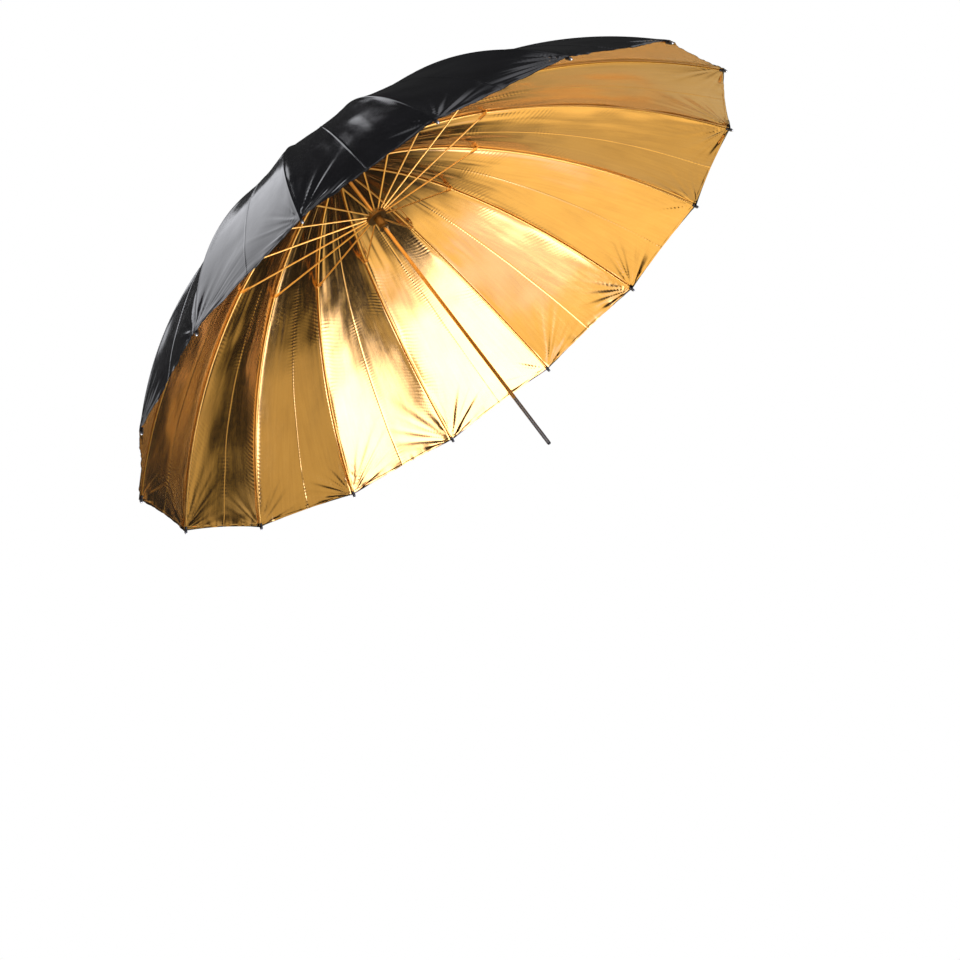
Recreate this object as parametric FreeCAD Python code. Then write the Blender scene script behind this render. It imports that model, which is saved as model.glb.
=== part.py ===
import FreeCAD, Part
import math
import os

# Folding umbrella reflector: sixteen sprung ribs, sixteen stretchers, a runner on a round shaft, and a canopy.
# Origin: centre of the shaft's free end. +Z runs along the shaft to the crown. The first rib lies over +X.
# All sizes are in millimetres, and the umbrella is modelled open.

Vec = FreeCAD.Vector
AXIS = Vec(0, 0, 1)

RIB_COUNT = 16
RIB_STEP = 360.0 / RIB_COUNT

SHAFT_RADIUS = 4.0
SHAFT_BORE = 3.0
SHAFT_LENGTH = 798.0
CROWN_HEIGHT = 780.0
MARK_HEIGHT = 120.0
MARK_WIDTH = 1.2
MARK_DEPTH = 0.25
PLUG_RADIUS = 3.6
PLUG_DEPTH = 11.0
PLUG_HEIGHT = 2.5
PLUG_ROUND = 0.8

# The rib's centreline is two arcs that share a tangent at the joint with its stretcher.
PIVOT_RADIUS = 18.0
INNER_BEND = 750.0
OUTER_BEND = 1070.0
JOINT_ANGLE = 25.2
TIP_ANGLE = 54.3

RIB_RADIUS = 2.0
STRETCHER_RADIUS = 1.8
WIRE_RADIUS = 0.8
FIT = 0.2
SEAT_GAP = 0.05
SLIDE_GAP = 0.3
END_GAP = 0.5
OVERLAP = 1.2

EYE_RADIUS = 2.8
EYE_WIDTH = 3.2
KNUCKLE_RADIUS = 2.5
RIVET_RADIUS = 1.1
RIVET_HEAD = 2.0
RIVET_HEAD_DEPTH = 0.7
JOINT_CLEARANCE = 0.8
FLAT_HALF = 1.6
TONGUE_HALF = 0.9
CHEEK_INNER = 1.2
CHEEK_OUTER = 2.2
EAR_INNER = 2.6
EAR_OUTER = 3.6
FORK_LENGTH = 15.0
YOKE_LENGTH = 7.0

NOTCH_RADIUS = 23.0
NOTCH_INNER = 14.6
NOTCH_WIDTH = 4.4
HUB_RADIUS = 10.0
PLATE_BELOW = 8.0
PLATE_ABOVE = 2.8
CROWN_SLEEVE = 28.0
RUNNER_SLOT = 4.5

CAP_LENGTH = 16.0
CAP_RADIUS = 3.4
CAP_BORE_DEPTH = 11.0
CAP_CLEARANCE = 1.0
BEAD_RADIUS = 2.2
BEAD_PROUD = 0.6

CANOPY_OFFSET = 4.0
CANOPY_THICKNESS = 0.6
CANOPY_HOLE = 6.0
SEAM_GAP = 0.3
HEM_GAP = 1.0

ROSETTE_RADIUS = 25.0
ROSETTE_THICKNESS = 1.5
ROSETTE_GAP = 0.1
FERRULE_BASE = 11.0
FERRULE_DOME = 7.0
FERRULE_HEIGHT = 12.0

GRIP_LENGTH = 36.0
FLARE_HEIGHT = 7.0
FLARE_WIDTH = 3.0
CATCH_LENGTH = 14.0
CATCH_WIDTH = 1.6
CATCH_PROUD = 2.6
CATCH_FLAT = 2.0
CATCH_INNER = 1.0

INNER_CENTRE = (PIVOT_RADIUS, CROWN_HEIGHT - INNER_BEND)


def on_arc(centre, bend, angle):
    """The point (radius, height) of an arc at an angle in degrees from straight up."""
    a = math.radians(angle)
    return (centre[0] + bend * math.sin(a), centre[1] + bend * math.cos(a))


CROWN_PIVOT = (PIVOT_RADIUS, CROWN_HEIGHT)
JOINT = on_arc(INNER_CENTRE, INNER_BEND, JOINT_ANGLE)
OUTER_CENTRE = on_arc(JOINT, -OUTER_BEND, JOINT_ANGLE)
TIP = on_arc(OUTER_CENTRE, OUTER_BEND, TIP_ANGLE)
CANOPY_TOP = CROWN_HEIGHT + CANOPY_OFFSET + CANOPY_THICKNESS
RUNNER_HEIGHT = 2 * JOINT[1] - CROWN_HEIGHT
RUNNER_PIVOT = (PIVOT_RADIUS, RUNNER_HEIGHT)
CATCH_HEIGHT = RUNNER_HEIGHT - GRIP_LENGTH - END_GAP - CATCH_LENGTH


def point(p, y=0.0):
    return Vec(p[0], y, p[1])


def ring(outer, inner, bottom, top):
    """A round collar on the shaft's axis."""
    body = Part.makeCylinder(outer, top - bottom, Vec(0, 0, bottom))
    return body.cut(Part.makeCylinder(inner, top - bottom, Vec(0, 0, bottom)))


def disc(p, radius, low, high):
    """A disc across the rib's plane, from one side position to the other."""
    return Part.makeCylinder(radius, high - low, point(p, low), Vec(0, 1, 0))


def both_sides(maker, low, high):
    """The same piece on both sides of the rib's plane."""
    return [maker(low, high), maker(-high, -low)]


def bar(start, end, half_height, low, high):
    """A flat bar between two points of the rib's plane."""
    along = (point(end) - point(start)).normalize()
    up = Vec(-along.z, 0, along.x) * half_height
    corners = [point(start) + up, point(end) + up, point(end) - up, point(start) - up]
    outline = [c + Vec(0, low, 0) for c in corners]
    return Part.Face(Part.makePolygon(outline + outline[:1])).extrude(Vec(0, high - low, 0))


def rod(start, end, radius):
    """A straight round rod between two points of the rib's plane."""
    run = point(end) - point(start)
    return Part.makeCylinder(radius, run.Length, point(start), run)


def bent_rod(centre, bend, first, last, radius):
    """A round rod along an arc in the rib's plane, between two angles in degrees."""
    start = point(on_arc(centre, bend, first))
    tangent = Vec(math.cos(math.radians(first)), 0, -math.sin(math.radians(first)))
    section = Part.Face(Part.Wire(Part.makeCircle(radius, start, tangent)))
    return section.revolve(point(centre), Vec(0, 1, 0), last - first)


def turn(distance, bend):
    """The angle in degrees that a distance along an arc takes up."""
    return math.degrees(distance / bend)


def between(a, b, distance):
    """The point at a distance from a on the way to b."""
    share = distance / math.hypot(b[0] - a[0], b[1] - a[1])
    return (a[0] + (b[0] - a[0]) * share, a[1] + (b[1] - a[1]) * share)


def fused(solids):
    return solids[0].multiFuse(solids[1:]).removeSplitter()


def inner_rib():
    """The rib from the crown to the stretcher's joint, with its rivet."""
    start = turn(EYE_RADIUS - OVERLAP, INNER_BEND)
    back_off = EYE_RADIUS + JOINT_CLEARANCE
    stop = JOINT_ANGLE - turn(back_off, INNER_BEND)
    tongue_start = on_arc(INNER_CENTRE, INNER_BEND, JOINT_ANGLE - turn(back_off + OVERLAP, INNER_BEND))
    body = fused([
        disc(CROWN_PIVOT, EYE_RADIUS, -EYE_WIDTH / 2, EYE_WIDTH / 2),
        bent_rod(INNER_CENTRE, INNER_BEND, start, stop, RIB_RADIUS),
        bar(tongue_start, JOINT, FLAT_HALF, -TONGUE_HALF, TONGUE_HALF),
        disc(JOINT, KNUCKLE_RADIUS, -TONGUE_HALF, TONGUE_HALF),
    ])
    body = body.cut(disc(CROWN_PIVOT, WIRE_RADIUS + FIT, -NOTCH_WIDTH, NOTCH_WIDTH))
    body = body.cut(disc(JOINT, RIVET_RADIUS + SEAT_GAP, -TONGUE_HALF, TONGUE_HALF))
    return Part.makeCompound([body, rivet()])


def rivet():
    shank_end = EAR_OUTER + SLIDE_GAP
    heads = both_sides(lambda a, b: disc(JOINT, RIVET_HEAD, a, b), shank_end, shank_end + RIVET_HEAD_DEPTH)
    return fused([disc(JOINT, RIVET_RADIUS, -shank_end, shank_end)] + heads)


def outer_rib():
    """The sprung end of the rib, with its tip cap and the cap's metal bead."""
    back_off = EYE_RADIUS + JOINT_CLEARANCE
    start = JOINT_ANGLE + turn(back_off, OUTER_BEND)
    cheek_end = on_arc(OUTER_CENTRE, OUTER_BEND, JOINT_ANGLE + turn(back_off + OVERLAP, OUTER_BEND))
    cap_start_angle = TIP_ANGLE - turn(CAP_LENGTH, OUTER_BEND)
    rod_end = cap_start_angle + turn(CAP_BORE_DEPTH, OUTER_BEND)
    cheeks = both_sides(lambda a, b: bar(JOINT, cheek_end, FLAT_HALF, a, b), CHEEK_INNER, CHEEK_OUTER)
    discs = both_sides(lambda a, b: disc(JOINT, KNUCKLE_RADIUS, a, b), CHEEK_INNER, CHEEK_OUTER)
    body = fused([bent_rod(OUTER_CENTRE, OUTER_BEND, start, rod_end, RIB_RADIUS)] + cheeks + discs)
    body = body.cut(disc(JOINT, RIVET_RADIUS + FIT, -CHEEK_OUTER, CHEEK_OUTER))
    return Part.makeCompound([body] + tip_cap(cap_start_angle))


def tip_cap(start_angle):
    """The plastic cap on the rib's end, and the round metal bead in its nose."""
    start = on_arc(OUTER_CENTRE, OUTER_BEND, start_angle)
    nose = between(TIP, start, BEAD_RADIUS)
    cap = rod(start, nose, CAP_RADIUS)
    cap = cap.cut(rod(start, between(start, TIP, CAP_BORE_DEPTH + CAP_CLEARANCE), RIB_RADIUS + FIT))
    bead_centre = between(start, TIP, CAP_LENGTH - BEAD_RADIUS + BEAD_PROUD)
    cap = cap.cut(Part.makeSphere(BEAD_RADIUS + SEAT_GAP, point(bead_centre)))
    return [cap, Part.makeSphere(BEAD_RADIUS, point(bead_centre))]


def stretcher():
    """The strut from the runner to the rib, with a fork that straddles the rib."""
    yoke_start = between(JOINT, RUNNER_PIVOT, FORK_LENGTH)
    yoke_end = between(JOINT, RUNNER_PIVOT, FORK_LENGTH + YOKE_LENGTH)
    ears = both_sides(lambda a, b: bar(JOINT, yoke_end, STRETCHER_RADIUS, a, b), EAR_INNER, EAR_OUTER)
    discs = both_sides(lambda a, b: disc(JOINT, KNUCKLE_RADIUS, a, b), EAR_INNER, EAR_OUTER)
    rod_start = between(yoke_start, yoke_end, YOKE_LENGTH / 2)
    body = fused(ears + discs + [
        bar(yoke_start, yoke_end, STRETCHER_RADIUS + FIT, -EAR_INNER, EAR_INNER),
        rod(rod_start, between(RUNNER_PIVOT, JOINT, EYE_RADIUS - OVERLAP), STRETCHER_RADIUS),
        disc(RUNNER_PIVOT, EYE_RADIUS, -EYE_WIDTH / 2, EYE_WIDTH / 2),
    ])
    body = body.cut(disc(JOINT, RIVET_RADIUS + FIT, -EAR_OUTER, EAR_OUTER))
    return body.cut(disc(RUNNER_PIVOT, WIRE_RADIUS + FIT, -NOTCH_WIDTH, NOTCH_WIDTH))


def notched(collar, bottom, top):
    """Cuts one radial slot for each rib into a collar, between two heights."""
    slot = Part.makeBox(NOTCH_RADIUS, NOTCH_WIDTH, top - bottom, Vec(NOTCH_INNER, -NOTCH_WIDTH / 2, bottom))
    for k in range(RIB_COUNT):
        collar = collar.cut(slot.rotated(Vec(0, 0, 0), AXIS, k * RIB_STEP))
    return collar


def wire_ring(height):
    return Part.makeTorus(PIVOT_RADIUS, WIRE_RADIUS, Vec(0, 0, height), AXIS)


def ring_groove(height):
    return Part.makeTorus(PIVOT_RADIUS, WIRE_RADIUS + SEAT_GAP, Vec(0, 0, height), AXIS)


def crown():
    """The notched plate that holds the ribs' inner ends, on a sleeve."""
    bore = SHAFT_RADIUS + SEAT_GAP
    plate_bottom = CROWN_HEIGHT - PLATE_BELOW
    plate_top = CROWN_HEIGHT + PLATE_ABOVE
    plate = ring(NOTCH_RADIUS, bore, plate_bottom, plate_top)
    plate = notched(plate, plate_bottom - OVERLAP, plate_top + OVERLAP)
    sleeve = ring(HUB_RADIUS, bore, CROWN_HEIGHT - CROWN_SLEEVE, plate_bottom + OVERLAP)
    return fused([plate, sleeve]).cut(ring_groove(CROWN_HEIGHT))


def runner():
    """The sliding collar that carries the stretchers, with a flared grip below."""
    bore = SHAFT_RADIUS + SLIDE_GAP
    plate_bottom = RUNNER_HEIGHT - PLATE_BELOW
    plate_top = RUNNER_HEIGHT + PLATE_ABOVE
    grip_bottom = RUNNER_HEIGHT - GRIP_LENGTH
    plate = ring(NOTCH_RADIUS, bore, plate_bottom, plate_top)
    plate = notched(plate, RUNNER_HEIGHT - RUNNER_SLOT, plate_top + OVERLAP)
    sleeve = ring(HUB_RADIUS, bore, grip_bottom + OVERLAP, plate_bottom + OVERLAP)
    flare = Part.makeCone(HUB_RADIUS + FLARE_WIDTH, HUB_RADIUS, FLARE_HEIGHT, Vec(0, 0, grip_bottom))
    flare = flare.cut(Part.makeCylinder(bore, FLARE_HEIGHT, Vec(0, 0, grip_bottom)))
    return fused([plate, sleeve, flare]).cut(ring_groove(RUNNER_HEIGHT))


def shaft():
    """The tube, with its catch's window, and a fine groove that marks the end held in a bracket."""
    tube = ring(SHAFT_RADIUS, SHAFT_BORE, 0.0, SHAFT_LENGTH)
    mark = ring(SHAFT_RADIUS + MARK_WIDTH, SHAFT_RADIUS - MARK_DEPTH, MARK_HEIGHT, MARK_HEIGHT + MARK_WIDTH)
    tube = tube.cut(mark)
    half = CATCH_WIDTH / 2 + SLIDE_GAP
    low = CATCH_HEIGHT - SLIDE_GAP
    window = Part.makeBox(SHAFT_RADIUS, 2 * half, CATCH_LENGTH + 2 * SLIDE_GAP, Vec(CATCH_INNER, -half, low))
    return tube.cut(window)


def catch():
    """The sprung wedge that stops the runner: square on top, sloped below so that the runner rides over it."""
    proud = SHAFT_RADIUS + CATCH_PROUD
    outline = [
        (CATCH_INNER, CATCH_HEIGHT),
        (SHAFT_RADIUS - FIT, CATCH_HEIGHT),
        (proud, CATCH_HEIGHT + CATCH_LENGTH - CATCH_FLAT),
        (proud, CATCH_HEIGHT + CATCH_LENGTH),
        (CATCH_INNER, CATCH_HEIGHT + CATCH_LENGTH),
    ]
    face = Part.Face(Part.makePolygon([point(p, -CATCH_WIDTH / 2) for p in outline + outline[:1]]))
    return face.extrude(Vec(0, CATCH_WIDTH, 0))


def end_plug():
    """The plastic plug in the tube's free end."""
    spigot = Part.makeCylinder(SHAFT_BORE - SEAT_GAP, OVERLAP + PLUG_DEPTH, Vec(0, 0, -OVERLAP))
    button = Part.makeCylinder(PLUG_RADIUS, PLUG_HEIGHT, Vec(0, 0, -PLUG_HEIGHT))
    button = button.makeFillet(PLUG_ROUND, [button.Edges[0], button.Edges[2]])
    return fused([spigot, button])


def rosette():
    """The washer that holds the canopy's middle down on the crown."""
    bottom = CANOPY_TOP + ROSETTE_GAP
    return ring(ROSETTE_RADIUS, SHAFT_RADIUS + SEAT_GAP, bottom, bottom + ROSETTE_THICKNESS)


def ferrule():
    """The rounded cap on the shaft's top end."""
    bottom = CANOPY_TOP + 2 * ROSETTE_GAP + ROSETTE_THICKNESS
    base = Part.makeCone(FERRULE_BASE, FERRULE_DOME, FERRULE_HEIGHT, Vec(0, 0, bottom))
    dome = Part.makeSphere(FERRULE_DOME, Vec(0, 0, bottom + FERRULE_HEIGHT))
    bore = Part.makeCylinder(SHAFT_RADIUS + SEAT_GAP, SHAFT_LENGTH - bottom + END_GAP, Vec(0, 0, bottom))
    return fused([base, dome]).cut(bore)


def canopy_profile(offset):
    """The points of one canopy face over a rib: the hole's edge, then start, middle and end of each arc."""
    top = CROWN_HEIGHT + offset
    hem = TIP_ANGLE - turn(CAP_LENGTH + HEM_GAP, OUTER_BEND)
    inner = [on_arc(INNER_CENTRE, INNER_BEND + offset, JOINT_ANGLE * s) for s in (0.0, 0.5, 1.0)]
    angles = (0.5 * (JOINT_ANGLE + hem), hem)
    outer = [on_arc(OUTER_CENTRE, OUTER_BEND + offset, a) for a in angles]
    shrink = math.cos(math.radians(RIB_STEP / 2))
    return [point((r * shrink, z)) for r, z in [(CANOPY_HOLE, top)] + inner + outer]


def canopy_panel():
    """One gore: a sheet that is straight from rib to rib, and follows the ribs' bend outwards."""
    low = canopy_profile(CANOPY_OFFSET)
    high = canopy_profile(CANOPY_OFFSET + CANOPY_THICKNESS)
    edges = []
    for face in (low, high):
        edges.append(Part.makeLine(face[0], face[1]))
        edges.append(Part.Arc(face[1], face[2], face[3]).toShape())
        edges.append(Part.Arc(face[3], face[4], face[5]).toShape())
    edges.append(Part.makeLine(low[0], high[0]))
    edges.append(Part.makeLine(low[-1], high[-1]))
    section = Part.Face(Part.Wire(Part.__sortEdges__(edges)))
    reach = TIP[0] * 0.3
    sheet = section.extrude(Vec(0, 2 * reach, 0))
    sheet.translate(Vec(0, -reach, 0))
    apex = Vec(SEAM_GAP / 2 / math.sin(math.radians(RIB_STEP / 2)), 0, 0)
    far = 2 * TIP[0]
    side = far * math.tan(math.radians(RIB_STEP / 2))
    sector = Part.makePolygon([apex, apex + Vec(far, -side, 0), apex + Vec(far, side, 0), apex])
    return sheet.common(Part.Face(sector).extrude(Vec(0, 0, 2 * CROWN_HEIGHT)))


def canopy():
    panel = canopy_panel()
    return Part.makeCompound([turned(panel, k + 0.5) for k in range(RIB_COUNT)])


def turned(shape, steps):
    """A copy of a shape, turned about the shaft by a number of rib steps."""
    return shape.rotated(Vec(0, 0, 0), AXIS, steps * RIB_STEP)


os.makedirs("parts", exist_ok=True)

single = {
    "shaft": shaft(),
    "end_plug": end_plug(),
    "crown": crown(),
    "crown_ring": wire_ring(CROWN_HEIGHT),
    "rosette": rosette(),
    "ferrule": ferrule(),
    "canopy": canopy(),
    "runner": runner(),
    "runner_ring": wire_ring(RUNNER_HEIGHT),
    "catch": catch(),
}
for name, shape in single.items():
    shape.exportStep(f"parts/{name}.step")

per_rib = {"rib_inner": inner_rib(), "rib_outer": outer_rib(), "stretcher": stretcher()}
for name, shape in per_rib.items():
    for k in range(RIB_COUNT):
        turned(shape, k).exportStep(f"parts/{name}_{k + 1:02d}.step")
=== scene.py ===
import math

import bpy
import numpy as np
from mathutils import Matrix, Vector


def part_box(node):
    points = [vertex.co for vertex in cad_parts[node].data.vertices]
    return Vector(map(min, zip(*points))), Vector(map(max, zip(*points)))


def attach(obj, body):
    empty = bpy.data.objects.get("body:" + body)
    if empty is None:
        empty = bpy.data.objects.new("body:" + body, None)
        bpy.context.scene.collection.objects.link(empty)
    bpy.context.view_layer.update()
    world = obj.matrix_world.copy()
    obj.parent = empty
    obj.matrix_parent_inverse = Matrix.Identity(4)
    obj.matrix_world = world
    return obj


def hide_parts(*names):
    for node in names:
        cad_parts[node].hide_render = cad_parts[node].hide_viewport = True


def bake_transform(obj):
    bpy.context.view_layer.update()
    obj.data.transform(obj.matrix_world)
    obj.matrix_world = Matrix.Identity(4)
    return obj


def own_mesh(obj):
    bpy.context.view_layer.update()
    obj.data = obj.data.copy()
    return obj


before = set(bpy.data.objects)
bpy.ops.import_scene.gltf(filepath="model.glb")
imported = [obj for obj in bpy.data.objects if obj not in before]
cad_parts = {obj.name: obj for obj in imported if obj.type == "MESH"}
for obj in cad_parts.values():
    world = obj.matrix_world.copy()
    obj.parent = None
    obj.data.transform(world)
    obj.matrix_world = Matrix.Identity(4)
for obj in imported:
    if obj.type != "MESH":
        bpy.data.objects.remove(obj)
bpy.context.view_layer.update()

# ---------------------------------------------------------------------------
# The frame's own sizes, in metres. The rib's centreline is two arcs that meet at the stretcher's joint.
# ---------------------------------------------------------------------------
RIBS = 16
STEP = 2 * math.pi / RIBS
INNER_BEND = 0.750
OUTER_BEND = 1.070
JOINT_ANGLE = math.radians(25.2)
TIP_ANGLE = math.radians(54.3)
WIRE = 0.0008
ROD = 0.0020

ring_low, ring_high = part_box("crown_ring")
PIVOT_R = (ring_high.x - ring_low.x) / 2 - WIRE
CROWN_Z = (ring_high.z + ring_low.z) / 2

S_JOINT = INNER_BEND * JOINT_ANGLE
S_TIP = S_JOINT + OUTER_BEND * (TIP_ANGLE - JOINT_ANGLE)
S_HEM = S_TIP - 0.0070
JOINT_R = PIVOT_R + INNER_BEND * math.sin(JOINT_ANGLE)
JOINT_Z = CROWN_Z - INNER_BEND * (1 - math.cos(JOINT_ANGLE))
OUTER_R = JOINT_R - OUTER_BEND * math.sin(JOINT_ANGLE)
OUTER_Z = JOINT_Z - OUTER_BEND * math.cos(JOINT_ANGLE)

# the cloth: its thickness, how far a gore bows in between its ribs, and how far its hem is cut back
CLOTH = 0.0005
BOW = 0.0060
SCALLOP = 0.0050

# heights and spacings of the cloth's relief
FOLD_COUNT, FOLD_HEIGHT, FOLD_STEEPNESS = 9.0, 0.0011, 0.045
SWELL, RIPPLE = 0.0016, 0.0007
PUCKER_PITCH, PUCKER_HEIGHT, PUCKER_REACH = 0.0095, 0.00050, 0.017
SEAM_HEIGHT, SEAM_WIDTH = 0.0006, 0.0013
STITCH_PITCH, STITCH_HEIGHT = 0.0078, 0.00032
TIP_FAN, TIP_REACH = 0.0017, 0.115
HEM_WAVE, HEM_RIPPLE = 0.0016, 0.0007
HEM_LINE, HEM_GROOVE = 0.0075, 0.00045
HEM_STITCH_PITCH, HEM_STITCH = 0.0062, 0.00025


def smooth(x, low, high):
    t = np.clip((x - low) / (high - low), 0.0, 1.0)
    return t * t * (3 - 2 * t)


def rib_line(s, h=0.0):
    """Radius, height and slope of a rib at arc lengths s, at a height h above its centreline."""
    s = np.asarray(s, float)
    a = np.where(s < S_JOINT, np.maximum(s, 0.0) / INNER_BEND, JOINT_ANGLE + (s - S_JOINT) / OUTER_BEND)
    inner = s < S_JOINT
    bend = np.where(inner, INNER_BEND, OUTER_BEND)
    centre_r = np.where(inner, PIVOT_R, OUTER_R)
    centre_z = np.where(inner, CROWN_Z - INNER_BEND, OUTER_Z)
    r = centre_r + (bend + h) * np.sin(a) + np.minimum(s, 0.0)
    z = centre_z + (bend + h) * np.cos(a)
    return r, z, a


# ---------------------------------------------------------------------------
# Seeded noise
# ---------------------------------------------------------------------------
LATTICE = {}


def noise(u, v, seed):
    """Smooth value noise from -1 to 1."""
    if seed not in LATTICE:
        LATTICE[seed] = np.random.RandomState(seed).rand(256, 256) * 2 - 1
    table = LATTICE[seed]
    iu, iv = np.floor(u).astype(int), np.floor(v).astype(int)
    fu, fv = u - iu, v - iv
    fu = fu * fu * fu * (fu * (fu * 6 - 15) + 10)
    fv = fv * fv * fv * (fv * (fv * 6 - 15) + 10)
    a, b = table[iu & 255, iv & 255], table[(iu + 1) & 255, iv & 255]
    c, d = table[iu & 255, (iv + 1) & 255], table[(iu + 1) & 255, (iv + 1) & 255]
    return (a * (1 - fu) + b * fu) * (1 - fv) + (c * (1 - fu) + d * fu) * fv


# ---------------------------------------------------------------------------
# The canopy's shape: sixteen gores sewn edge to edge, pulled tight over the ribs
# ---------------------------------------------------------------------------
def gore_relief(gore, s, f, half):
    """How far the cloth of a gore stands out from its smooth shape. f goes from 0 at one rib to 1 at the next."""
    side = np.where(f < 0.5, 0.0, 1.0)
    chord = 2 * half
    y = np.minimum(f, 1 - f) * chord
    mid = (f - 0.5) * chord
    below = S_HEM - s
    own = 37.0 * gore
    held = smooth(y, 0.0015, 0.012)

    # folds that run out from the crown
    size = np.minimum(FOLD_HEIGHT, FOLD_STEEPNESS * chord / (FOLD_COUNT / 2))
    fade = 1 - 0.85 * smooth(s, 0.20, 0.58)
    folds = noise(f * FOLD_COUNT + own, s / 0.17 + own, 11)
    folds = folds + 0.5 * noise(f * FOLD_COUNT * 2.1 + own, s / 0.11, 12)
    crease = 1 - 2 * np.abs(noise(f * 6.0 + own, s / 0.30 + own, 13))
    relief = size * fade * (0.75 * folds + 0.45 * np.maximum(crease, 0.0) ** 3)

    # slow undulation of a stretched panel
    relief += SWELL * noise(f * 2.3 + own, s / 0.13, 21) * smooth(s, 0.10, 0.30)
    relief += RIPPLE * noise(f * 5.0 + own, s / 0.060 + own, 22) * smooth(s, 0.15, 0.35)

    # short puckers where the cloth is sewn down along the ribs
    along = s + (0.55 - 1.1 * side) * y + 0.004 * noise(s / 0.05, own + y / 0.03, 31)
    patch = smooth(noise(s / 0.075 + own, side * 9.0 + own, 32), -0.05, 0.45)
    patch = patch * smooth(s, 0.28, 0.42) * (1 - 0.6 * smooth(s, S_HEM - 0.10, S_HEM - 0.02))
    wave = np.cos(2 * np.pi * along / PUCKER_PITCH)
    relief += PUCKER_HEIGHT * wave * patch * smooth(y, 0.001, 0.006) * np.exp(-y / PUCKER_REACH)

    # the thin seam down the middle of the gore
    relief += SEAM_HEIGHT * np.exp(-(mid / SEAM_WIDTH) ** 2) * smooth(s, 0.05, 0.12)
    stitch = smooth(noise(s / 0.06 + own, own, 41), -0.3, 0.3)
    pull = STITCH_HEIGHT * np.cos(2 * np.pi * s / STITCH_PITCH) * stitch
    relief += pull * np.exp(-np.abs(mid) / 0.006) * smooth(s, 0.2, 0.3)

    # wrinkles that fan out from the tips
    reach = np.hypot(y, below)
    fan = np.arctan2(y, np.maximum(below, 1e-4)) / (np.pi / 2)
    tip = gore + side
    strength = 0.75 + 0.55 * noise(np.full_like(s, 3.3) * tip, s * 0 + 0.5, 51)
    pleat = noise(fan * 11.0 + 50 * side + own, reach / 0.25, 52)
    pleat = pleat + 0.5 * noise(fan * 21.0 + 50 * side + own, reach / 0.12, 53)
    relief += TIP_FAN * strength * pleat * smooth(reach, 0.006, 0.040) * np.exp(-(reach / TIP_REACH) ** 2)

    # the hem: turned over, stitched, and slightly slack between the tips
    slack = smooth(s, S_HEM - 0.030, S_HEM)
    relief += HEM_WAVE * noise(mid / 0.024 + own, own + s * 0, 61) * slack
    relief += HEM_RIPPLE * noise(mid / 0.009 + own, own + s * 0, 62) * slack
    relief -= HEM_GROOVE * np.exp(-((below - HEM_LINE) / 0.0010) ** 2)
    relief += HEM_STITCH * np.cos(2 * np.pi * mid / HEM_STITCH_PITCH) * np.exp(-((below - 0.0045) / 0.0025) ** 2)
    return relief * held


def spread(u, half):
    """Where the columns go between a rib (0) and the middle of the gore (1): closer together at both seams."""
    near = np.minimum(0.0080 / half, 0.30)
    far = 1 - np.minimum(0.0050 / half, 0.15)
    u = np.broadcast_to(u, np.broadcast_shapes(u.shape, half.shape))
    first = u / 0.25 * near
    middle = near + (u - 0.25) / 0.63 * (far - near)
    last = far + (u - 0.88) / 0.12 * (1 - far)
    packed = np.where(u < 0.25, first, np.where(u < 0.88, middle, last))
    share = smooth(half, 0.015, 0.055)
    return u * (1 - share) + packed * share


def lift(s):
    """How far the cloth's inner face lies above the rib's centreline."""
    return 0.0032 + 0.0008 * (1 - smooth(s, 0.004, 0.060)) + 0.0012 * smooth(s, S_HEM - 0.035, S_HEM - 0.006)


def canopy_points(rib, rows, cols):
    """The cloth round one rib, as grids of points: inner face, outer face, and the cut's own coordinates."""
    s0 = rows[:, None]
    t = cols[None, :]
    rib_r = rib_line(s0)[0]
    half = rib_r * math.sin(STEP / 2)
    v = 0.5 * spread(np.abs(t), half)
    scallop = SCALLOP * 4 * v * (1 - v) * smooth(s0, S_HEM - 0.09, S_HEM)
    s = s0 - scallop
    side = np.where(t < 0, -1.0, 1.0) * np.ones_like(s)
    gore = np.where(side > 0, rib, (rib - 1) % RIBS).astype(float)
    f = np.where(side > 0, v, 1 - v)
    relief = gore_relief(gore, s, f, half * np.ones_like(s))
    bow = BOW * 4 * v * (1 - v) * (smooth(s, 0.02, 0.30) - 0.55 * smooth(s, S_HEM - 0.20, S_HEM))
    y = v * 2 * half

    # the gore's outward direction, turned to the rib's own next to the rib
    turn = side * (STEP / 2) * smooth(y, 0.0, 0.006)
    r_in, z_in, slope = rib_line(s, lift(s))
    squeeze = np.cos(turn)
    length = np.sqrt((np.sin(slope)) ** 2 + (np.cos(slope) * squeeze) ** 2)
    out, up = np.sin(slope) / length, np.cos(slope) * squeeze / length
    welt = 0.0004 * (1 - smooth(y, 0.0042, 0.0056)) * smooth(s, 0.03, 0.06)
    ridge = 0.0003 * np.exp(-(y / 0.0012) ** 2)

    def placed(extra):
        px = r_in * (1 - v) + r_in * math.cos(STEP) * v
        py = side * r_in * math.sin(STEP) * v
        x = px + extra * out * np.cos(turn)
        w = py + extra * out * np.sin(turn)
        z = z_in + extra * up
        az = rib * STEP
        return np.stack([x * math.cos(az) - w * math.sin(az), x * math.sin(az) + w * math.cos(az), z], axis=-1)

    base = relief - bow
    inner = placed(base - welt)
    outer = placed(base + CLOTH + ridge)
    smooth_face = placed(-bow)
    cut = np.stack([side * y, s, half - y + np.zeros_like(s)], axis=-1)
    return inner, outer, smooth_face, cut, gore


def grid_normals(points):
    """Unit normals of a grid that has one spare row and column all round, cut back to the grid itself."""
    du = points[2:, 1:-1] - points[:-2, 1:-1]
    dv = points[1:-1, 2:] - points[1:-1, :-2]
    n = np.cross(du, dv)
    return n / np.maximum(np.linalg.norm(n, axis=-1, keepdims=True), 1e-12)


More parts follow.
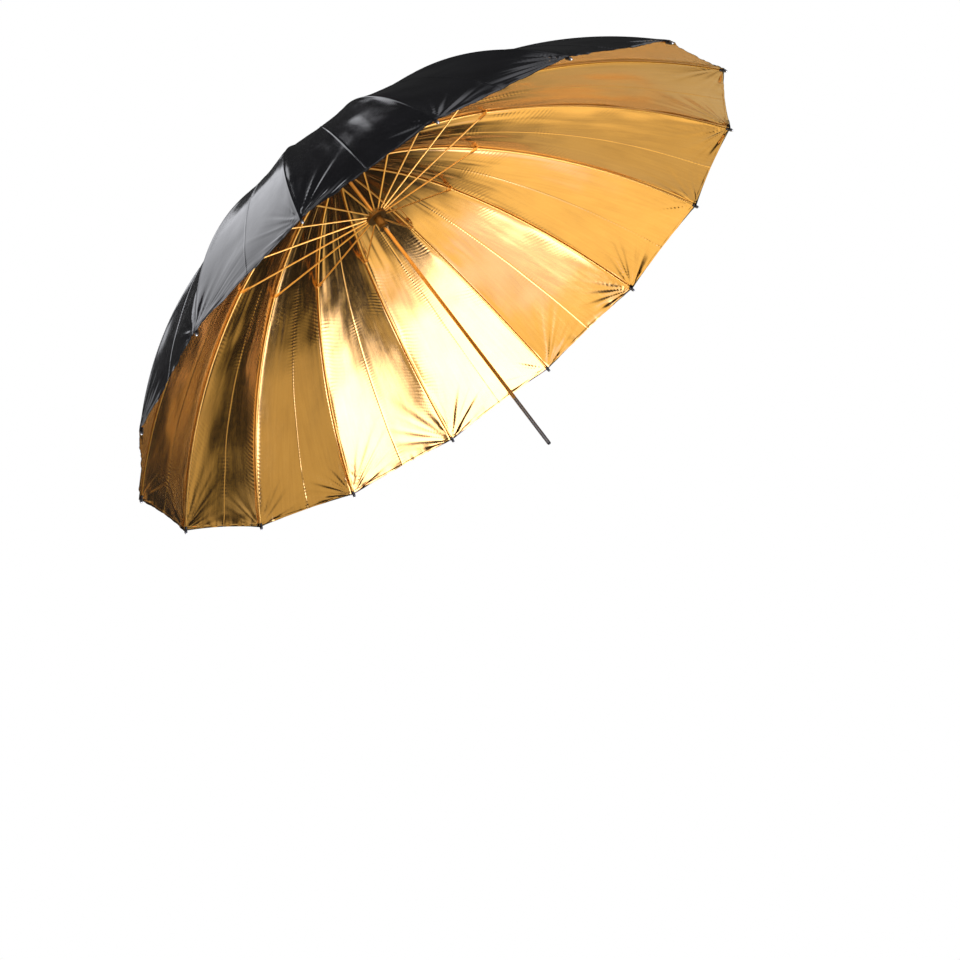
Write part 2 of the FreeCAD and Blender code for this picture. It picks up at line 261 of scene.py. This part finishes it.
def grid_area(p):
    a, b, c, d = p[:-1, :-1], p[1:, :-1], p[1:, 1:], p[:-1, 1:]
    first = np.linalg.norm(np.cross(b - a, c - a), axis=-1)
    return 0.5 * float((first + np.linalg.norm(np.cross(c - a, d - a), axis=-1)).sum())


HEM_ROWS = np.array([0.0105, 0.0092, 0.0082, 0.0074, 0.0066, 0.0054, 0.0042, 0.0030, 0.0020, 0.0010, 0.0])


def rows_between(first, last):
    """Row positions, closer together at the hem's fold and stitching."""
    pitch = 0.0023
    if last >= S_HEM - 1e-6:
        body = np.linspace(first, S_HEM - 0.012, int(round((S_HEM - 0.012 - first) / pitch)))
        return np.concatenate([body, S_HEM - HEM_ROWS])
    return np.linspace(first, last, max(2, int(round((last - first) / pitch)) + 1))


def new_mesh(name, points, faces_flat, sizes, materials, slots=None, is_smooth=True):
    """A mesh object from arrays: points, the faces' corners in one row, and each face's corner count."""
    mesh = bpy.data.meshes.new(name)
    starts = np.concatenate([[0], np.cumsum(sizes)[:-1]]).astype(np.int32)
    mesh.vertices.add(len(points))
    mesh.vertices.foreach_set("co", np.asarray(points, np.float32).ravel())
    mesh.loops.add(len(faces_flat))
    mesh.loops.foreach_set("vertex_index", np.asarray(faces_flat, np.int32))
    mesh.polygons.add(len(sizes))
    mesh.polygons.foreach_set("loop_start", starts)
    mesh.polygons.foreach_set("loop_total", np.asarray(sizes, np.int32))
    for m in materials:
        mesh.materials.append(m)
    if slots is not None:
        mesh.polygons.foreach_set("material_index", np.asarray(slots, np.int32))
    mesh.update(calc_edges=True)
    mesh.polygons.foreach_set("use_smooth", np.full(len(sizes), is_smooth, bool))
    obj = bpy.data.objects.new(name, mesh)
    bpy.context.scene.collection.objects.link(obj)
    return obj


def cloth_piece(name, rib, rows, cols, materials):
    """One closed piece of the canopy: inner face, outer face and the thin edge between them."""
    step_r0, step_r1 = rows[1] - rows[0], rows[-1] - rows[-2]
    step_c = cols[1] - cols[0]
    more_rows = np.concatenate([[rows[0] - step_r0], rows, [rows[-1] + step_r1]])
    more_cols = np.concatenate([[cols[0] - step_c], cols, [cols[-1] + step_c]])
    inner, outer, flat, cut, gore = canopy_points(rib, more_rows, more_cols)
    n_in, n_out = grid_normals(inner), grid_normals(outer)
    if n_out[0, len(cols) // 2, 2] < 0:
        n_out = -n_out
    else:
        n_in = -n_in
    core = (slice(1, -1), slice(1, -1))
    inner, outer, flat, cut, gore = (a[core] for a in (inner, outer, flat, cut, gore))
    nr, nc = inner.shape[:2]
    count = nr * nc
    at = np.arange(count).reshape(nr, nc)
    quads_in = np.stack([at[:-1, :-1], at[:-1, 1:], at[1:, 1:], at[1:, :-1]], axis=-1).reshape(-1, 4)
    quads_out = quads_in[:, ::-1] + count
    ring = np.concatenate([at[0, :-1], at[:-1, -1], at[-1, :0:-1], at[:0:-1, 0]])
    after = np.roll(ring, -1)
    rim = np.stack([ring, ring + count, after + count, after], axis=-1)
    faces = np.concatenate([quads_in, quads_out, rim])
    slots = np.concatenate([np.zeros(len(quads_in)), np.ones(len(quads_out)), np.ones(len(rim))])
    points = np.concatenate([inner.reshape(-1, 3), outer.reshape(-1, 3)])
    obj = new_mesh(name, points, faces.ravel(), np.full(len(faces), 4), materials, slots)
    mesh = obj.data
    cuts = np.concatenate([cut.reshape(-1, 3)] * 2).astype(np.float32)
    mesh.attributes.new("cut", "FLOAT_VECTOR", "POINT").data.foreach_set("vector", cuts.ravel())
    face_gore = gore[:-1, :-1].copy()
    panels = np.concatenate([face_gore.ravel(), face_gore.ravel(), np.zeros(len(rim))]).astype(np.float32)
    mesh.attributes.new("panel", "FLOAT", "FACE").data.foreach_set("value", panels)
    normals = np.concatenate([n_in.reshape(-1, 3), n_out.reshape(-1, 3)])
    mesh.normals_split_custom_set_from_vertices(normals.tolist())
    return obj, grid_area(flat)


# ---------------------------------------------------------------------------
# Materials
# ---------------------------------------------------------------------------
def nodes_of(name):
    mat = bpy.data.materials.new(name)
    mat.use_nodes = True
    tree = mat.node_tree
    shader = tree.nodes["Principled BSDF"]
    return mat, tree, shader


def node(tree, kind, **values):
    n = tree.nodes.new(kind)
    for key, value in values.items():
        if key in n.inputs:
            n.inputs[key].default_value = value
        else:
            setattr(n, key, value)
    return n


def scaled(tree, vector, scale):
    n = tree.nodes.new("ShaderNodeVectorMath")
    n.operation = "MULTIPLY"
    tree.links.new(vector, n.inputs[0])
    n.inputs[1].default_value = scale
    return n.outputs[0]


def texture(tree, vector, scale, detail=3.0, rough=0.5):
    n = node(tree, "ShaderNodeTexNoise", Scale=scale, Detail=detail, Roughness=rough)
    tree.links.new(vector, n.inputs["Vector"])
    return n.outputs[0]


def ranged(tree, value, low, high, to_low, to_high):
    n = tree.nodes.new("ShaderNodeMapRange")
    n.inputs["From Min"].default_value = low
    n.inputs["From Max"].default_value = high
    n.inputs["To Min"].default_value = to_low
    n.inputs["To Max"].default_value = to_high
    tree.links.new(value, n.inputs["Value"])
    return n.outputs[0]


def ramp(tree, value, stops):
    n = tree.nodes.new("ShaderNodeValToRGB")
    elements = n.color_ramp.elements
    while len(elements) < len(stops):
        elements.new(0.5)
    for e, (at, colour) in zip(elements, stops):
        e.position = at
        e.color = (*colour, 1)
    tree.links.new(value, n.inputs[0])
    return n.outputs[0]


def math_node(tree, operation, a, b=None):
    n = tree.nodes.new("ShaderNodeMath")
    n.operation = operation
    for k, x in enumerate((a, b)):
        if x is None:
            continue
        if isinstance(x, (int, float)):
            n.inputs[k].default_value = x
        else:
            tree.links.new(x, n.inputs[k])
    return n.outputs[0]


def bump(tree, shader, height, distance, strength=1.0, after=None):
    n = node(tree, "ShaderNodeBump", Distance=distance, Strength=strength)
    tree.links.new(height, n.inputs["Height"])
    if after is not None:
        tree.links.new(after, n.inputs["Normal"])
    if shader is not None:
        tree.links.new(n.outputs[0], shader.inputs["Normal"])
    return n.outputs[0]


def weave(tree, cut, density):
    """A plain weave: fine ribs both ways, about a quarter of density to the metre."""
    scale = density / 6.2832 * 0.5
    wave_a = node(tree, "ShaderNodeTexWave", Scale=scale)
    wave_a.bands_direction = "X"
    wave_b = node(tree, "ShaderNodeTexWave", Scale=scale)
    wave_b.bands_direction = "Y"
    tree.links.new(cut, wave_a.inputs["Vector"])
    tree.links.new(cut, wave_b.inputs["Vector"])
    return math_node(tree, "MULTIPLY", wave_a.outputs[1], wave_b.outputs[1])


# the density of the two weaves, the width of the hem's dark edge, and how far the gold's colour is darkened near
# the crown as painted shade
GOLD_WEAVE, BLACK_WEAVE = 2600.0, 2200.0
BINDING = 0.0014
CROWN_PAINTED_SHADE = 0.55


def gold_cloth():
    """Metallised nylon: a gold foil face on a fine weave, with painted shade darkening its colour near the crown,
    and dark along the hem's edge.
    """
    mat, tree, shader = nodes_of("canopy_gold")
    cut = node(tree, "ShaderNodeAttribute", attribute_name="cut")
    vector = cut.outputs["Vector"]
    streaks = texture(tree, scaled(tree, vector, (160.0, 9.0, 0.0)), 1.0, 3.0, 0.5)
    clouds = texture(tree, scaled(tree, vector, (9.0, 7.0, 0.0)), 1.0, 4.0, 0.55)
    crinkle = texture(tree, scaled(tree, vector, (110.0, 70.0, 0.0)), 1.0, 2.0, 0.5)
    mix = math_node(tree, "MULTIPLY", streaks, 0.4)
    mix = math_node(tree, "ADD", mix, math_node(tree, "MULTIPLY", clouds, 0.6))
    golds = [(0.35, (0.43, 0.222, 0.046)), (0.5, (0.48, 0.252, 0.054)), (0.66, (0.52, 0.280, 0.064))]
    colour = ramp(tree, mix, golds)
    place = tree.nodes.new("ShaderNodeSeparateXYZ")
    tree.links.new(vector, place.inputs[0])
    curl = texture(tree, scaled(tree, vector, (28.0, 0.0, 28.0)), 1.0, 3.0, 0.6)
    edge = math_node(tree, "ADD", place.outputs["Y"], math_node(tree, "MULTIPLY", curl, 0.0050))
    turned = ranged(tree, edge, S_HEM - BINDING - 0.0002, S_HEM - BINDING + 0.0002, 1.0, 0.03)
    # painted shade: the gold's colour is scaled down towards the crown, standing in for the shade there
    painted_crown_shade = ranged(tree, place.outputs["Y"], 0.22, S_JOINT + 0.015, CROWN_PAINTED_SHADE, 1.0)
    tinted = tree.nodes.new("ShaderNodeVectorMath")
    tinted.operation = "SCALE"
    tree.links.new(colour, tinted.inputs[0])
    tree.links.new(math_node(tree, "MULTIPLY", turned, painted_crown_shade), tinted.inputs["Scale"])
    tree.links.new(tinted.outputs[0], shader.inputs["Base Color"])
    shader.inputs["Metallic"].default_value = 1.0
    rough = ranged(tree, math_node(tree, "ADD", crinkle, streaks), 0.7, 1.3, 0.15, 0.23)
    tree.links.new(rough, shader.inputs["Roughness"])
    shader.inputs["Coat Weight"].default_value = 0.9
    shader.inputs["Coat Roughness"].default_value = 0.18
    shader.inputs["Coat IOR"].default_value = 1.5
    fine = bump(tree, None, weave(tree, vector, GOLD_WEAVE), 0.00004, 0.12)
    bump(tree, shader, crinkle, 0.0006, 0.16, fine)
    return mat


def black_cloth():
    """Black coated nylon, slightly glossy, with a fine weave."""
    mat, tree, shader = nodes_of("canopy_black")
    cut = node(tree, "ShaderNodeAttribute", attribute_name="cut")
    vector = cut.outputs["Vector"]
    crinkle = texture(tree, scaled(tree, vector, (90.0, 60.0, 0.0)), 1.0, 2.0, 0.5)
    clouds = texture(tree, scaled(tree, vector, (8.0, 6.0, 0.0)), 1.0, 4.0, 0.55)
    colour = ramp(tree, clouds, [(0.3, (0.007, 0.007, 0.008)), (0.7, (0.014, 0.014, 0.016))])
    tree.links.new(colour, shader.inputs["Base Color"])
    tree.links.new(ranged(tree, crinkle, 0.3, 0.7, 0.10, 0.15), shader.inputs["Roughness"])
    fine = bump(tree, None, weave(tree, vector, BLACK_WEAVE), 0.00004, 0.12)
    bump(tree, shader, crinkle, 0.0006, 0.14, fine)
    return mat


def metal(name, colour_stops, rough_low, rough_high, stretch=(1.0, 1.0, 1.0)):
    """Plated or brushed metal with faint wear."""
    mat, tree, shader = nodes_of(name)
    where = node(tree, "ShaderNodeTexCoord").outputs["Object"]
    spots = texture(tree, scaled(tree, where, (240.0, 240.0, 240.0)), 1.0, 4.0, 0.6)
    grain = texture(tree, scaled(tree, where, tuple(900.0 * c for c in stretch)), 1.0, 3.0, 0.6)
    tree.links.new(ramp(tree, spots, colour_stops), shader.inputs["Base Color"])
    shader.inputs["Metallic"].default_value = 1.0
    tree.links.new(ranged(tree, grain, 0.3, 0.7, rough_low, rough_high), shader.inputs["Roughness"])
    bump(tree, shader, grain, 0.00005, 0.35)
    return mat


# where on the shaft its grey end meets the gilt
MARK_LOW, MARK_HIGH = 0.1200, 0.1212


def shaft_metal():
    """Gilt tube, with its free end left grey up to the mark."""
    grey, gold = (0.30, 0.30, 0.31), (0.60, 0.35, 0.10)
    mat = metal("shaft_metal", [(0.3, gold), (0.7, gold)], 0.32, 0.44, (1.0, 1.0, 0.03))
    tree = mat.node_tree
    shader = tree.nodes["Principled BSDF"]
    split = tree.nodes.new("ShaderNodeSeparateXYZ")
    tree.links.new(node(tree, "ShaderNodeTexCoord").outputs["Object"], split.inputs[0])
    height = ranged(tree, split.outputs["Z"], MARK_LOW, MARK_HIGH, 0.0, 1.0)
    tree.links.new(ramp(tree, height, [(0.0, grey), (1.0, gold)]), shader.inputs["Base Color"])
    return mat


def plastic(name, low, high, rough_low, rough_high):
    """Moulded plastic with a fine grain."""
    mat, tree, shader = nodes_of(name)
    where = node(tree, "ShaderNodeTexCoord").outputs["Object"]
    grain = texture(tree, scaled(tree, where, (1500.0, 1500.0, 1500.0)), 1.0, 2.0, 0.5)
    cloud = texture(tree, scaled(tree, where, (90.0, 90.0, 90.0)), 1.0, 3.0, 0.5)
    tree.links.new(ramp(tree, cloud, [(0.3, low), (0.7, high)]), shader.inputs["Base Color"])
    tree.links.new(ranged(tree, cloud, 0.3, 0.7, rough_low, rough_high), shader.inputs["Roughness"])
    bump(tree, shader, grain, 0.00006, 0.4)
    return mat


GOLD = gold_cloth()
BLACK = black_cloth()
GILT = metal("gilt_steel", [(0.3, (0.58, 0.32, 0.070)), (0.7, (0.68, 0.40, 0.11))], 0.34, 0.46)
STEEL = metal("bright_steel", [(0.3, (0.55, 0.55, 0.56)), (0.7, (0.68, 0.68, 0.69))], 0.18, 0.30)
SHAFT = shaft_metal()
BRONZE = metal("runner_metal", [(0.3, (0.12, 0.070, 0.022)), (0.7, (0.20, 0.12, 0.040))], 0.30, 0.42)
PLASTIC = plastic("black_plastic", (0.010, 0.010, 0.011), (0.020, 0.020, 0.021), 0.34, 0.48)

# ---------------------------------------------------------------------------
# The canopy
# ---------------------------------------------------------------------------
# each band of cloth: its name, where it starts and ends along the rib, and the width it keeps when closed
BANDS = [("a", 0.0045, 0.035, 0.80), ("b", 0.035, 0.075, 0.52), ("c", 0.075, 0.130, 0.395),
         ("d", 0.130, 0.205, 0.31), ("e", 0.205, S_JOINT, 0.24), ("f", S_JOINT, S_HEM, 0.15)]
COLUMNS = np.linspace(-1.0, 1.0, 81)


def rib_axis(rib):
    a = rib * STEP
    return (-math.sin(a), math.cos(a), 0.0)


def rib_point(rib, s):
    r, z, _ = rib_line(s)
    return (float(r) * math.cos(rib * STEP), float(r) * math.sin(rib * STEP), float(z))


for rib in range(RIBS):
    for band, first, last, keep in BANDS:
        body = f"rib_outer_{rib + 1:02d}" if first == S_JOINT else f"rib_inner_{rib + 1:02d}"
        name = f"canopy_{rib + 1:02d}_{band}"
        piece, area = cloth_piece(name, rib, rows_between(first, last), COLUMNS, [GOLD, BLACK])
        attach(piece, body)
        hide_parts("canopy")
        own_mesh(piece)


# ---------------------------------------------------------------------------
# Turned and bent parts
# ---------------------------------------------------------------------------
class Shape:
    """Points and faces gathered into one mesh."""

    def __init__(self):
        self.points, self.faces = [], []

    def add(self, points, faces):
        start = len(self.points)
        self.points += [tuple(p) for p in points]
        self.faces += [[start + i for i in f] for f in faces]

    def tube(self, line, radii, sides=12, across=None):
        """A closed round bar along a line of points."""
        line = [Vector(p) for p in line]
        points, faces = [], []
        for k, p in enumerate(line):
            ahead = (line[min(k + 1, len(line) - 1)] - line[max(k - 1, 0)]).normalized()
            side = Vector(across).normalized()
            up = side.cross(ahead).normalized()
            for j in range(sides):
                a = 2 * math.pi * j / sides
                points.append(p + (side * math.cos(a) + up * math.sin(a)) * radii[k])
        for k in range(len(line) - 1):
            for j in range(sides):
                a, b = k * sides + j, k * sides + (j + 1) % sides
                faces.append([a, b, b + sides, a + sides])
        faces.append(list(range(sides))[::-1])
        faces.append([(len(line) - 1) * sides + j for j in range(sides)])
        self.add(points, faces)

    def lathe(self, profile, origin, axis, across, sides=24):
        """A turned solid: profile is (distance along the axis, radius), closed at both ends."""
        origin, axis, side = Vector(origin), Vector(axis).normalized(), Vector(across).normalized()
        up = axis.cross(side).normalized()
        points, faces = [], []
        for d, r in profile:
            for j in range(sides):
                a = 2 * math.pi * j / sides
                points.append(origin + axis * d + (side * math.cos(a) + up * math.sin(a)) * max(r, 1e-6))
        for k in range(len(profile) - 1):
            for j in range(sides):
                a, b = k * sides + j, k * sides + (j + 1) % sides
                faces.append([a, b, b + sides, a + sides])
        faces.append(list(range(sides))[::-1])
        faces.append([(len(profile) - 1) * sides + j for j in range(sides)])
        self.add(points, faces)

    def made(self, name, material, is_smooth=True):
        flat = [i for f in self.faces for i in f]
        obj = new_mesh(name, self.points, flat, [len(f) for f in self.faces], [material], None, is_smooth)
        obj.data.set_sharp_from_angle(angle=math.radians(38))
        return obj


def round_bead(radius, turns=10):
    angles = [math.pi * k / turns for k in range(turns + 1)]
    return [(-radius * math.cos(a), radius * math.sin(a)) for a in angles]


def along_rib(rib, s, h=0.0):
    r, z, _ = rib_line(s, h)
    return Vector((float(r) * math.cos(rib * STEP), float(r) * math.sin(rib * STEP), float(z)))


def rib_direction(rib, s):
    return (along_rib(rib, s + 0.0005) - along_rib(rib, s - 0.0005)).normalized()


# turned profiles: (distance along the axis, radius)
EYE = [(-0.0016, 0.0012), (-0.0016, 0.0024), (-0.0012, 0.0028),
       (0.0012, 0.0028), (0.0016, 0.0024), (0.0016, 0.0012)]
PIN_END = [(-0.0046, 0.0001), (-0.0046, 0.0012), (-0.0043, 0.0019), (-0.0039, 0.0020), (-0.0038, 0.0011)]
PIN = PIN_END + [(-d, r) for d, r in PIN_END[::-1]]
CAP = [(0.0, 0.0021), (0.0, 0.0027), (0.0006, 0.0031), (0.0030, 0.0032), (0.0034, 0.0029), (0.0046, 0.0029),
       (0.0050, 0.0032), (0.0100, 0.0034), (0.0126, 0.0033), (0.0136, 0.0028), (0.0139, 0.0018)]
# the clip's sleeve over the rib's joint, the cap and bead at the tip, and the rod's bend and taper past the joint
SLEEVE_PLACES = (-0.0090, -0.0085, -0.0060, 0.0, 0.0060, 0.0085, 0.0090)
SLEEVE_RADII = [0.00205, 0.00235, 0.00248, 0.00248, 0.00248, 0.00235, 0.00205]
CAP_LENGTH = 0.0160
BEAD_RADIUS = 0.0022
BEAD_PLACE = 0.0144
ROD_TAPER = 0.0004

for rib in range(RIBS):
    number = f"{rib + 1:02d}"
    inner_body, outer_body = f"rib_inner_{number}", f"rib_outer_{number}"
    across = rib_axis(rib)

    rod = Shape()
    stations = np.linspace(0.0024, S_TIP - 0.006, 220)
    radii = ROD - ROD_TAPER * smooth(stations, S_JOINT, S_JOINT + 0.06)
    rod.tube([along_rib(rib, s) for s in stations], radii, 12, across)
    rod.lathe(EYE, rib_point(rib, 0.0), across, (0, 0, 1))
    piece = rod.made(f"rib_rod_{number}", GILT)
    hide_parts(inner_body, outer_body)
    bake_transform(piece)

    clip = Shape()
    clip.tube([along_rib(rib, S_JOINT + d) for d in SLEEVE_PLACES], SLEEVE_RADII, 20, across)
    clip.lathe(PIN, along_rib(rib, S_JOINT), across, (0, 0, 1))
    piece = clip.made(f"rib_clip_{number}", GILT)
    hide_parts(inner_body)
    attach(piece, inner_body)

    start, axis = along_rib(rib, S_TIP - CAP_LENGTH), rib_direction(rib, S_TIP - CAP_LENGTH / 2)
    cap = Shape()
    cap.lathe(CAP, start, axis, across)
    piece = cap.made(f"tip_cap_{number}", PLASTIC)
    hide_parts(outer_body)
    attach(piece, outer_body)

    bead = Shape()
    bead.lathe(round_bead(BEAD_RADIUS), start + axis * BEAD_PLACE, axis, across, 20)
    piece = bead.made(f"tip_bead_{number}", STEEL)
    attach(piece, outer_body)

# the canopy's middle, a flat ring of cloth between the crown and the rosette
patch = Shape()
CROWN_EDGE, CROWN_HOLE = 0.0223, 0.0060
PATCH_Z = CROWN_Z + 0.0040
PATCH_TOP = PATCH_Z + CLOTH
patch_ring = [(CROWN_HOLE, PATCH_Z), (CROWN_EDGE, PATCH_Z), (CROWN_EDGE, PATCH_TOP), (CROWN_HOLE, PATCH_TOP)]
sides = RIBS * 6
ring_points = [(r * math.cos(2 * math.pi * j / sides), r * math.sin(2 * math.pi * j / sides), z)
               for r, z in patch_ring for j in range(sides)]
ring_faces = []
for k in range(4):
    for j in range(sides):
        a, b = k * sides, (k + 1) % 4 * sides
        ring_faces.append([a + j, a + (j + 1) % sides, b + (j + 1) % sides, b + j])
patch.add(ring_points, ring_faces)
piece = patch.made("canopy_crown", BLACK)
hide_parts("canopy")
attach(piece, "root")

# ---------------------------------------------------------------------------
# The carried-over CAD nodes
# ---------------------------------------------------------------------------
FINISH = {"shaft": SHAFT, "end_plug": PLASTIC, "crown": PLASTIC, "crown_ring": STEEL, "rosette": PLASTIC,
          "ferrule": PLASTIC, "runner": BRONZE, "runner_ring": STEEL, "catch": STEEL}
for name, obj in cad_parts.items():
    finish = GILT if name.startswith("stretcher") else FINISH.get(name)
    if finish is not None:
        obj.data.materials.clear()
        obj.data.materials.append(finish)


# ---------------------------------------------------------------------------
# Studio: floor, light and camera
# ---------------------------------------------------------------------------
def stage_floor():
    size, height = 40.0, -6.0
    corners = [(-size, -size, height), (size, -size, height), (size, size, height), (-size, size, height)]
    floor = new_mesh("floor", corners, [0, 1, 2, 3], [4], [])
    mat, tree, shader = nodes_of("floor_pale")
    shader.inputs["Base Color"].default_value = (0.30, 0.30, 0.30, 1)
    shader.inputs["Roughness"].default_value = 0.9
    shader.inputs["Specular IOR Level"].default_value = 0.0
    shader.inputs["Emission Color"].default_value = (0.80, 0.80, 0.79, 1)
    shader.inputs["Emission Strength"].default_value = 1.0
    floor.data.materials.append(mat)
    floor.visible_glossy = False
    floor.visible_diffuse = False
    floor.visible_shadow = False


def heading(azimuth, elevation):
    a, e = math.radians(azimuth), math.radians(elevation)
    return (math.cos(a) * math.cos(e), math.sin(a) * math.cos(e), math.sin(e))


def studio_world(lobes, base, shown):
    """Soft panels of light all round: (azimuth, elevation, inner angle, outer angle, brightness, tint).

    base is the light between the panels, and shown is the white that the camera sees behind the object.
    """
    world = bpy.data.worlds.new("studio")
    bpy.context.scene.world = world
    world.use_nodes = True
    tree = world.node_tree
    tree.nodes.clear()
    where = tree.nodes.new("ShaderNodeTexCoord").outputs["Generated"]
    total = None
    for azimuth, elevation, inner, outer, level, tint in lobes:
        dot = tree.nodes.new("ShaderNodeVectorMath")
        dot.operation = "DOT_PRODUCT"
        tree.links.new(where, dot.inputs[0])
        dot.inputs[1].default_value = heading(azimuth, elevation)
        shade = tree.nodes.new("ShaderNodeMapRange")
        shade.interpolation_type = "SMOOTHSTEP"
        shade.inputs["From Min"].default_value = math.cos(math.radians(outer))
        shade.inputs["From Max"].default_value = math.cos(math.radians(inner))
        shade.inputs["To Max"].default_value = level
        tree.links.new(dot.outputs["Value"], shade.inputs["Value"])
        panel = tree.nodes.new("ShaderNodeVectorMath")
        panel.operation = "SCALE"
        panel.inputs[0].default_value = tint
        tree.links.new(shade.outputs[0], panel.inputs["Scale"])
        brightest = tree.nodes.new("ShaderNodeVectorMath")
        brightest.operation = "MAXIMUM"
        tree.links.new(panel.outputs[0], brightest.inputs[0])
        if total is None:
            brightest.inputs[1].default_value = (base, base, base)
        else:
            tree.links.new(total, brightest.inputs[1])
        total = brightest.outputs[0]
    lit = tree.nodes.new("ShaderNodeBackground")
    lit.inputs["Strength"].default_value = 1.0
    tree.links.new(total, lit.inputs["Color"])
    plain = tree.nodes.new("ShaderNodeBackground")
    plain.inputs["Color"].default_value = (1, 1, 1, 1)
    plain.inputs["Strength"].default_value = shown
    path = tree.nodes.new("ShaderNodeLightPath")
    mix = tree.nodes.new("ShaderNodeMixShader")
    tree.links.new(path.outputs["Is Camera Ray"], mix.inputs[0])
    tree.links.new(lit.outputs[0], mix.inputs[1])
    tree.links.new(plain.outputs[0], mix.inputs[2])
    out = tree.nodes.new("ShaderNodeOutputWorld")
    tree.links.new(mix.outputs[0], out.inputs["Surface"])


COOL, NEUTRAL, WARM = (0.92, 0.96, 1.25), (0.96, 0.97, 1.02), (1.0, 0.88, 0.52)
stage_floor()
studio_world(
    [
        # below and beside the bowl, seen in the gold
        (-32, -64, 16, 32, 8.0, COOL),
        (-140, -72, 9, 17, 2.3, COOL),
        (-146, -58, 22, 44, 2.1, WARM),
        (172, -29, 13, 24, 1.15, WARM),
        (146, -12, 8, 18, 0.95, WARM),
        (50, -40, 12, 26, 1.0, WARM),
        # the window seen in one black gore
        (135, 49, 7, 9, 1.4, NEUTRAL),
        (142, 57, 11, 13, 1.4, NEUTRAL),
        (154, 64, 9, 12, 1.4, NEUTRAL),
        # soft light on the rest of the outside, and one more panel for the gold
        (-60, 46, 22, 50, 1.3, NEUTRAL),
        (-152, 42, 14, 36, 1.0, NEUTRAL),
        (32, 46, 14, 36, 1.0, NEUTRAL),
        (72, -8, 8, 16, 0.9, WARM),
    ],
    base=0.03,
    shown=1.0,
)

CAMERA_PLACE = (1.9594, -3.2886, -1.1400)
CAMERA_TURN = (110.77, 34.79, 45.36)
CAMERA_LENS = 73.40
camera_data = bpy.data.cameras.new("camera")
camera_data.lens = CAMERA_LENS
camera_data.sensor_width = 36.0
camera = bpy.data.objects.new("camera", camera_data)
camera.location = CAMERA_PLACE
camera.rotation_euler = [math.radians(a) for a in CAMERA_TURN]
bpy.context.scene.collection.objects.link(camera)
bpy.context.scene.camera = camera
bpy.context.scene.view_settings.view_transform = "Standard"
